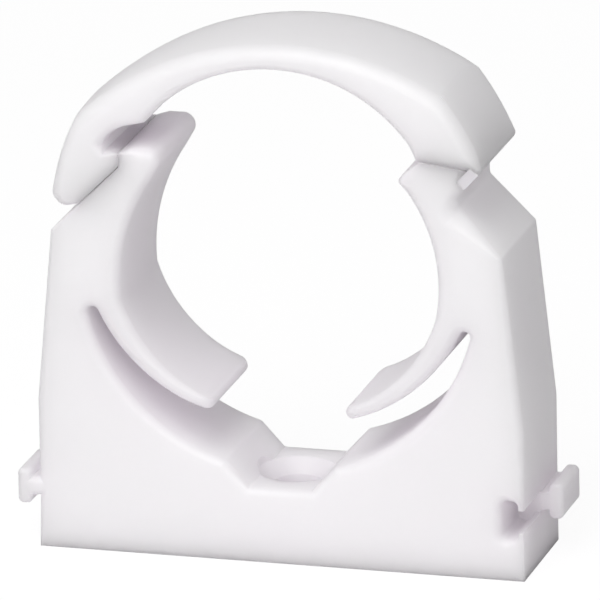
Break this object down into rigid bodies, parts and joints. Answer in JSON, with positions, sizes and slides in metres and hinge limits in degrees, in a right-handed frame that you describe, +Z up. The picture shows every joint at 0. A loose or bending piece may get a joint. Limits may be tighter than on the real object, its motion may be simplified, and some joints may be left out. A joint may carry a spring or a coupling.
{
  "type": "hinged pipe clip",
  "caption": "Hinged snap clip for 28 mm pipe: a flat-based body with sprung fingers and a strap that swings over and latches.",
  "frame": {"origin": "centre of the flat base's underside", "axes": "+X across the clip towards the hinge, +Y along the pipe to the back face, +Z up from the wall or surface it is screwed to"},
  "size_m": [0.0462, 0.0116, 0.0457],
  "materials": {
    "white_plastic": "satin"
  },
  "bodies": {
    "clip_body": {"clip_body": "white_plastic"},
    "strap": {"strap": "white_plastic"}
  },
  "joints": [
    {"name": "strap_hinge", "type": "hinge", "parent": "clip_body", "child": "strap", "pos_m": [0.01707, 0, 0.03533], "axis": [0, 1, 0], "range_deg": [0, 105]}
  ]
}
